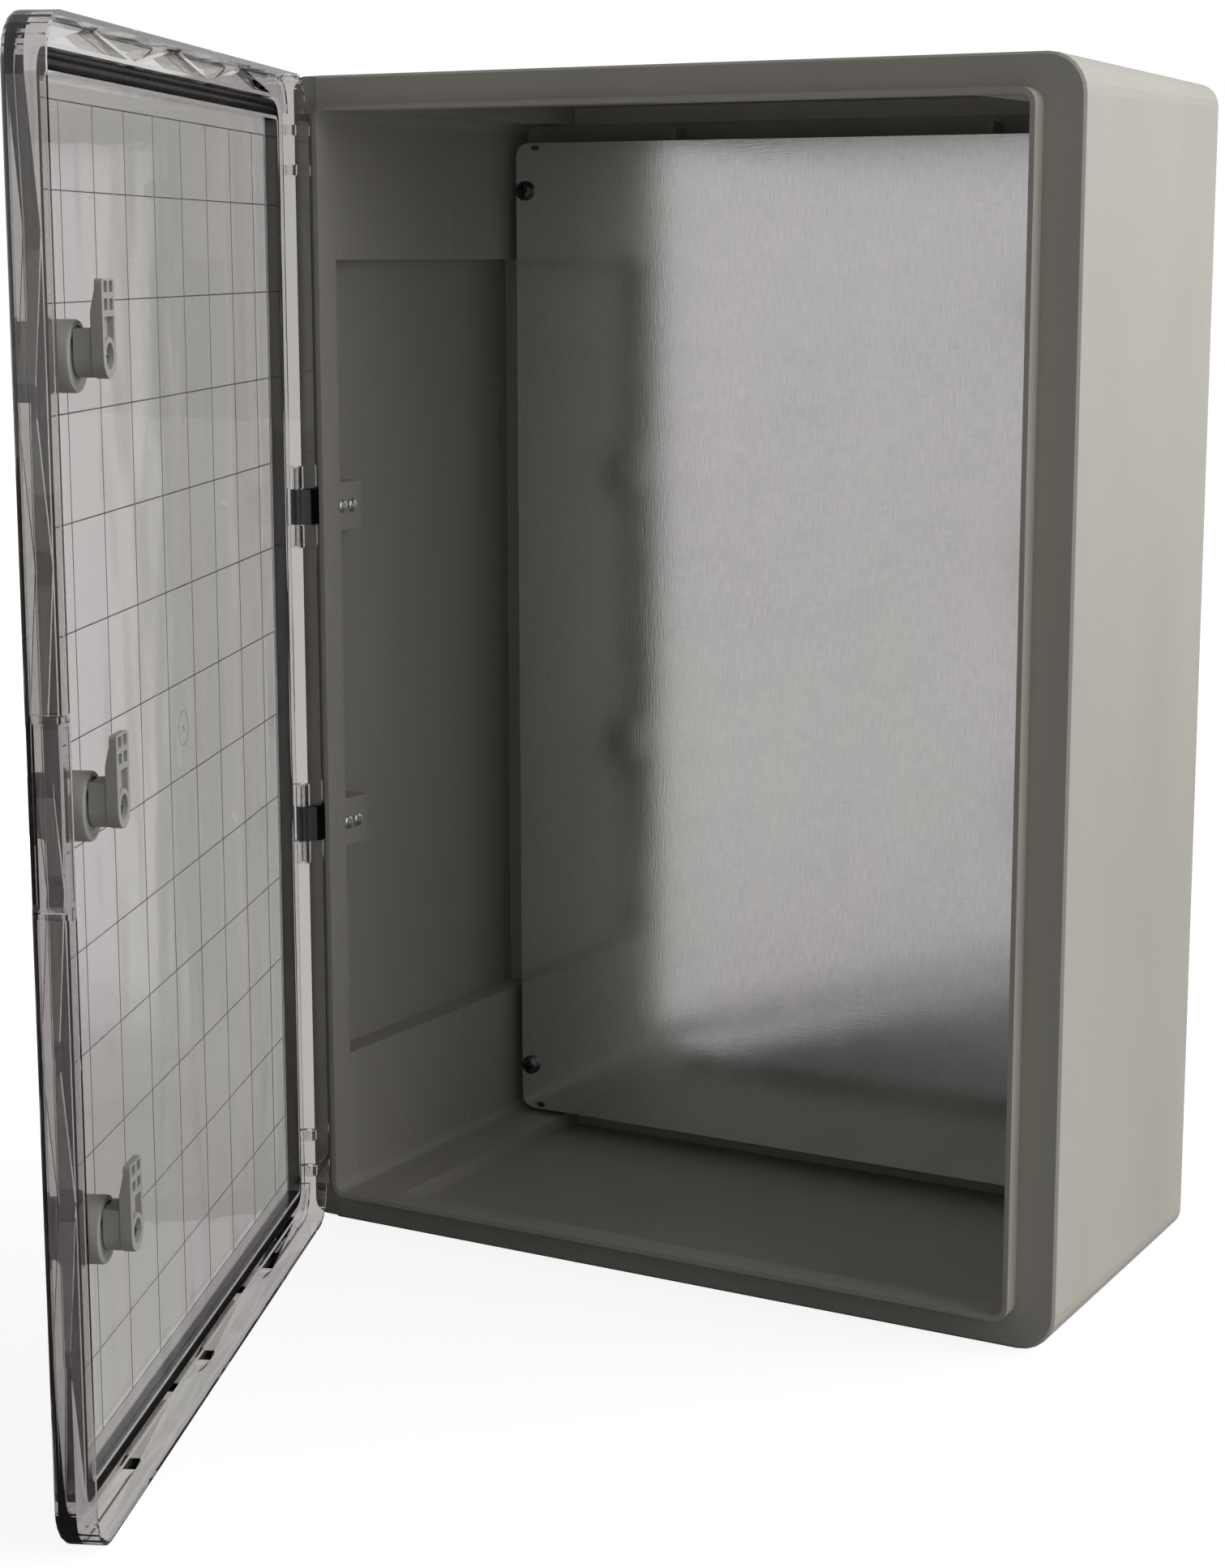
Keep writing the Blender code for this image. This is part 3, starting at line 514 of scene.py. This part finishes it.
def make_finishes():
    grain = moulded_grain_group()
    rolled = rolled_grain_group()
    return {
        "cabinet_plastic": moulded_finish(
            "cabinet_moulding", CABINET_GREY, grain, 0.46, 0.00010, 1300.0, 7.0,
        ),
        "latch_plastic": moulded_finish("latch_moulding", LATCH_GREY, grain, 0.50, 0.00008, 2200.0, 30.0),
        "door_plastic": clear_finish(),
        "seal_rubber": seal_finish(),
        "zinc_steel": plated_finish("zinc_plate", (0.70, 0.71, 0.73), 0.26),
        "dark_steel": plated_finish("dark_plate", (0.10, 0.10, 0.105), 0.40),
        "zinc_sheet": sheet_finish(rolled),
        "score_line_painted_dark": score_finish(),
    }


def dress_nodes(finishes):
    """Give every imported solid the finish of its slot; the flat sheet has a finish of its own."""
    for name, node in frame["nodes"].items():
        for place in node.material_slots:
            finish = place.material.name.split(".")[0]
            if name == "mounting_plate":
                finish = "zinc_sheet"
            if name.startswith("hinge_bracket"):
                finish = "dark_steel"
            place.material = finishes[finish]


def soften_nodes():
    """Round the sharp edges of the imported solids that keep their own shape."""
    widths = {"cabinet_body": 0.0005, "door_shell": 0.0003, "mounting_plate": 0.0003}
    for name, node in frame["nodes"].items():
        if name in widths or name.startswith(("latch_knob", "hinge_bracket")):
            round_edges(node, widths.get(name, 0.0004), 2, 42)


# Door details


def add_score(builder, start, end):
    """One raised score line with a low ridge section, in the (u, z) plane of the panel."""
    along = (Vector(end) - Vector(start)).normalized()
    across = Vector((-along.y, along.x)) * GRID_WIDTH / 2
    rings = []
    for point in (start, end):
        left, right = Vector(point) + across, Vector(point) - across
        ring = [(left.x, PANEL_V, left.y), (right.x, PANEL_V, right.y)]
        ring += [(point[0], PANEL_V + GRID_HEIGHT, point[1])]
        rings.append(ring)
    add_loft(builder, rings)


def make_score_grid(finishes):
    """The cutting grid: columns run through, rows stop at each column."""
    builder = bmesh.new()
    low, high = GRID_EDGE_Z
    columns = (GRID_EDGE_U[0], *GRID_COLUMNS, GRID_EDGE_U[1])
    for u in columns:
        add_score(builder, (u, low), (u, high))
    rows = [low + GRID_WIDTH / 2, high - GRID_WIDTH / 2]
    for step in range(-6, 6):
        rows.append(GRID_PITCH * (step + 0.5))
    for z in rows:
        for left, right in zip(columns, columns[1:]):
            add_score(builder, (left + GRID_WIDTH * 0.7, z), (right - GRID_WIDTH * 0.7, z))
    grid = new_piece("door_score_grid", builder, finishes["score_line_painted_dark"], "door", DOOR)


def make_door_gasket(finishes):
    """Foam seal with a crowned top that bears the light imprint of the frame lip."""
    section = []
    for across, height in (
        (-1.0, 0.00), (-1.0, 0.62), (-0.86, 0.86), (-0.60, 0.98), (-0.36, 1.0), (-0.20, 0.96),
        (-0.08, 0.88), (0.08, 0.88), (0.20, 0.96), (0.36, 1.0), (0.60, 0.98), (0.86, 0.86),
        (1.0, 0.62), (1.0, 0.00),
    ):
        section.append((across * SEAL_HALF, PANEL_V + GAP + height * (SEAL_TOP_V - PANEL_V - GAP)))
    randomness = random.Random(11)
    builder = bmesh.new()
    rings = []
    for offset, v in section:
        low = (SEAL_MID_U - SEAL_X - offset, -SEAL_Z - offset)
        high = (SEAL_MID_U + SEAL_X + offset, SEAL_Z + offset)
        outline = rounded_outline(low, high, SEAL_CORNER + offset, 8)
        ring = []
        for u, z in subdivide(outline):
            ring.append((u, v + randomness.uniform(-0.00008, 0.00008), z))
        rings.append(ring)
    add_tube(builder, rings)
    gasket = new_piece("door_foam_seal", builder, finishes["seal_rubber"], "door", DOOR)
    smooth(gasket, 60)
    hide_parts("door_gasket")


def subdivide(outline):
    """Add points along the outline's four long sides, the same number on each ring of the seal."""
    points = []
    for start, end in zip(outline, outline[1:] + outline[:1]):
        length = math.dist(start, end)
        count = 1
        if length > SEAL_X:
            count = SEAL_STEPS_ACROSS if length < 2 * SEAL_X else SEAL_STEPS_UPRIGHT
        for index in range(count):
            share = index / count
            points.append(tuple(near + (far - near) * share for near, far in zip(start, end)))
    return points


def add_low_ring(builder, centre, radius, width, low, high):
    """A flat ring round a centre in the (x, z) plane, standing from low to high along Y."""
    rings = []
    for size, y in ((radius - width, low), (radius - width, high), (radius, high), (radius, low)):
        circle = arc(centre, size, 0, 351, 39)
        rings.append([(x, y, z) for x, z in circle])
    add_tube(builder, rings)


def make_gate_mark(finishes):
    """The ring and pip where the moulding was filled, in the middle of the panel."""
    builder = bmesh.new()
    add_low_ring(builder, (GATE_U, 0.0), GATE_RADIUS, 0.0007, PANEL_V - 0.0001, PANEL_V + 0.0003)
    add_low_ring(builder, (GATE_U, 0.0), 0.0016, 0.0008, PANEL_V - 0.0001, PANEL_V + 0.0005)
    mark = new_piece("door_gate_mark", builder, finishes["door_plastic"], "door", DOOR)


# Latches and screws


def latch_place(which):
    """Local to world: the origin lies on the latch's own axis."""
    return Matrix.Translation(JOINTS["latch_turn_" + which]["pos_m"]) @ Matrix.Rotation(-OPEN_ANGLE, 4, "Z")


def add_arm(builder):
    """Flat arm with a round heel, square top corners and straight sides."""
    outline = arc((0.0, 0.0), HUB_RADIUS, 180, 360, 24)
    outline += arc((HUB_RADIUS - 0.0022, ARM_TOP_Z - 0.0022), 0.0022, 0, 90, 5)
    outline += arc((0.0022 - HUB_RADIUS, ARM_TOP_Z - 0.0022), 0.0022, 90, 180, 5)
    add_prism(builder, outline, ARM_MIDDLE_V, ARM_FACE_V)


def add_hub(builder):
    side = HUB_RADIUS - 0.0004
    outline = arc((0.0, 0.0), side, 180, 360, 24) + [(side, HUB_TOP_Z), (-side, HUB_TOP_Z)]
    add_prism(builder, outline, CUP_TOP_V + GAP, ARM_MIDDLE_V + 0.001)


def add_ramp(builder):
    """The wedge taken off the underside, which leads the tip in behind the frame."""
    low = ARM_MIDDLE_V - 0.002
    section = [(0.0200, low), (0.0200, ARM_MIDDLE_V), (0.0300, ARM_TIP_V)]
    section += [(0.0400, ARM_TIP_V), (0.0400, low)]
    add_loft(builder, [[(u, v, z) for z, v in section] for u in (-0.0130, 0.0130)])


def add_pockets(builder):
    """Four small pockets at the tip, and a large one that follows the collar round the screw."""
    floor, above = ARM_FACE_V - 0.0030, ARM_FACE_V + 0.001
    for u in (-0.0042, 0.0042):
        for z in (0.0309, 0.0230):
            outline = rounded_outline((u - 0.0028, z - 0.0026), (u + 0.0028, z + 0.0026), 0.0005, 2)
            add_prism(builder, outline, floor, above)
    turn = math.degrees(math.acos(0.0070 / COLLAR_RADIUS))
    large = [(0.0070, 0.0176), (-0.0070, 0.0176)] + arc((0.0, 0.0), COLLAR_RADIUS, 180 - turn, turn, 12)
    add_prism(builder, large, floor, above)


def add_stepped_bore(builder):
    profile = (
        (0.0025, CUP_TOP_V - 0.001),
        (0.0025, COUNTERBORE_V),
        (COUNTERBORE_RADIUS, COUNTERBORE_V),
        (COUNTERBORE_RADIUS, ARM_FACE_V + 0.001),
    )
    add_turned(builder, profile, 40)


def make_latch_arm(finishes, which):
    builder = bmesh.new()
    add_arm(builder)
    arm = new_piece("latch_arm_" + which, builder, finishes["latch_plastic"], "latch_" + which)
    hub = bmesh.new()
    add_hub(hub)
    carve(arm, hub, "UNION")
    for form in (add_ramp, add_pockets, add_stepped_bore):
        tool = bmesh.new()
        form(tool)
        carve(arm, tool)
    arm.data.transform(latch_place(which))
    round_edges(arm, 0.0004, 3, 38)
    smooth(arm, 30)
    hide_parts("latch_cam_" + which)


def make_latch_cup(finishes, which):
    """Round cup that carries the latch's shaft through the panel, with a rounded rim and a shallow ring."""
    low = PANEL_V + GAP
    profile = (
        (SHAFT_BORE, low), (CUP_RADIUS, low), (CUP_RADIUS, CUP_TOP_V - 0.0012),
        (CUP_RADIUS - 0.0004, CUP_TOP_V - 0.0004), (CUP_RADIUS - 0.0012, CUP_TOP_V),
        (CUP_RADIUS - 0.0026, CUP_TOP_V), (CUP_RADIUS - 0.0032, CUP_TOP_V - 0.0008),
        (SHAFT_BORE + 0.0022, CUP_TOP_V - 0.0008), (SHAFT_BORE + 0.0016, CUP_TOP_V),
        (SHAFT_BORE, CUP_TOP_V),
    )
    rings = []
    for radius, v in profile:
        rings.append([(u, v, z) for u, z in arc((0.0, 0.0), radius, 0, 354, 59)])
    builder = bmesh.new()
    add_tube(builder, rings)
    cup = new_piece("latch_ring_" + which, builder, finishes["latch_plastic"], "door", latch_place(which))
    smooth(cup, 35)
    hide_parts("latch_cup_" + which)


def make_screw(finishes, node, slot, body, place, sizes):
    """Pan-head screw with a cross recess: its head points along +Y of its place, its seat at the origin."""
    shank, length, head, height = sizes
    profile = (
        (shank - 0.0005, -length), (shank, 0.0006 - length), (shank, 0.0), (head, 0.0),
        (head, height * 0.35), (head * 0.94, height * 0.62), (head * 0.78, height * 0.86),
        (head * 0.52, height * 0.97), (head * 0.2, height),
    )
    builder = bmesh.new()
    add_turned(builder, profile, 36)
    screw = new_piece("cross_" + node, builder, finishes[slot], body)
    reach, half, floor = head * 0.60, head * 0.13, height * 0.30
    for across, along in ((reach, half), (half, reach)):
        cross = bmesh.new()
        add_box(cross, (-across, floor, -along), (across, height + 0.001, along))
        carve(screw, cross)
    screw.data.transform(place)
    smooth(screw, 35)
    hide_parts(node)


def make_latches(finishes):
    seat = Matrix.Translation((0.0, COUNTERBORE_V + GAP, 0.0))
    for which in LATCHES:
        make_latch_arm(finishes, which)
        make_latch_cup(finishes, which)
        place = latch_place(which) @ seat
        make_screw(finishes, "latch_screw_" + which, "zinc_steel", "latch_" + which, place, CAM_SCREW)


def make_plate_screws(finishes):
    turn = Matrix.Rotation(math.pi, 4, "Z")
    for side, x in (("left", -PLATE_SCREW_X), ("right", PLATE_SCREW_X)):
        for level, z in zip(("top", "bottom"), PLATE_SCREW_Z):
            place = Matrix.Translation((x, PLATE_Y - GAP, z)) @ turn
            make_screw(finishes, f"plate_screw_{side}_{level}", "dark_steel", "cabinet", place, PLATE_SCREW)


def make_hinge_screws(finishes):
    turn = Matrix.Rotation(-math.pi / 2, 4, "Z")
    for level, z in zip(("upper", "lower"), HINGE_Z):
        for spot, y in zip(("front", "rear"), LEAF_SCREW_Y):
            place = Matrix.Translation((GAP - INSIDE_X, y, z)) @ turn
            make_screw(finishes, f"hinge_screw_{level}_{spot}", "zinc_steel", "cabinet", place, LEAF_SCREW)


# Cabinet details


def make_seams(finishes):
    """Fine witness lines that cross the four corner blocks where the mould's slides met."""
    builder = bmesh.new()
    for depth in SEAM_DEPTHS:
        low_y, high_y = FLANGE_Y + depth - SEAM_HALF, FLANGE_Y + depth + SEAM_HALF
        for side in (1, -1):
            for end in (1, -1):
                x_near, x_far = sorted((side * (BLOCK_X + 0.001), side * (INSIDE_X - 0.008)))
                z_near, z_far = sorted((end * (INSIDE_Z - 0.0002), end * (INSIDE_Z + 0.0004)))
                add_box(builder, (x_near, low_y, z_near), (x_far, high_y, z_far))
                x_near, x_far = sorted((side * (INSIDE_X - 0.0002), side * (INSIDE_X + 0.0004)))
                z_near, z_far = sorted((end * (BLOCK_Z + 0.001), end * (INSIDE_Z - 0.008)))
                add_box(builder, (x_near, low_y, z_near), (x_far, high_y, z_far))
    seams = new_piece("cabinet_seams", builder, finishes["cabinet_plastic"], "cabinet")


# Studio


def make_floor():
    builder = bmesh.new()
    half = FLOOR_SIZE / 2
    level = CAD_BOX[0].z - 0.0005
    corners = ((-half, -half), (half, -half), (half, half), (-half, half))
    builder.faces.new([builder.verts.new((x, y, level)) for x, y in corners])
    floor = new_piece("studio_floor", builder, floor_finish(), None)


def make_world():
    """Soft surround: pale behind and to the right of the cabinet, dim in front of it."""
    world = bpy.data.worlds.new("studio")
    bpy.context.scene.world = world
    world.use_nodes = True
    tree = world.node_tree
    tree.nodes.clear()
    coordinates = tree.nodes.new("ShaderNodeTexCoord")
    split = tree.nodes.new("ShaderNodeSeparateXYZ")
    tree.links.new(coordinates.outputs["Generated"], split.inputs["Vector"])
    sideways = maths(tree, "MULTIPLY", split.outputs["X"], 0.75)
    backward = maths(tree, "MULTIPLY", split.outputs["Y"], 0.66)
    facing = maths(tree, "ADD", sideways, backward)
    glow = spread(tree, facing, 0.14, 2.30, 0.20, 0.82)
    glow.interpolation_type = "SMOOTHSTEP"
    path = tree.nodes.new("ShaderNodeLightPath")
    mirrored = maths(tree, "MULTIPLY", path.outputs["Is Glossy Ray"], 0.70)
    unscattered = maths(tree, "LESS_THAN", path.outputs["Diffuse Depth"], 0.5)
    passed = maths(tree, "MAXIMUM", path.outputs["Is Transmission Ray"], mirrored)
    seen = maths(tree, "MULTIPLY", passed, unscattered)
    straight = maths(tree, "MAXIMUM", path.outputs["Is Camera Ray"], seen)
    pick = tree.nodes.new("ShaderNodeMix")
    tree.links.new(straight, pick.inputs["Factor"])
    tree.links.new(glow.outputs["Result"], pick.inputs["A"])
    pick.inputs["B"].default_value = 1.0
    background = tree.nodes.new("ShaderNodeBackground")
    background.inputs["Color"].default_value = (1.0, 1.0, 1.0, 1.0)
    tree.links.new(pick.outputs["Result"], background.inputs["Strength"])
    output = tree.nodes.new("ShaderNodeOutputWorld")
    tree.links.new(background.outputs["Background"], output.inputs["Surface"])


def make_camera():
    data = bpy.data.cameras.new("studio_camera")
    data.sensor_fit = "VERTICAL"
    data.sensor_height = SENSOR
    data.lens = LENS
    data.shift_x = LENS_SHIFT
    camera = bpy.data.objects.new("studio_camera", data)
    camera.location = EYE
    camera.rotation_euler = [math.radians(turn) for turn in EYE_TURN]
    bpy.context.scene.collection.objects.link(camera)
    bpy.context.scene.camera = camera


def main():
    make_camera()
    make_world()
    make_floor()
    finishes = make_finishes()
    dress_nodes(finishes)
    soften_nodes()
    make_score_grid(finishes)
    make_door_gasket(finishes)
    make_gate_mark(finishes)
    make_latches(finishes)
    make_plate_screws(finishes)
    make_hinge_screws(finishes)
    make_seams(finishes)
    bpy.context.scene.view_settings.view_transform = "Standard"


main()
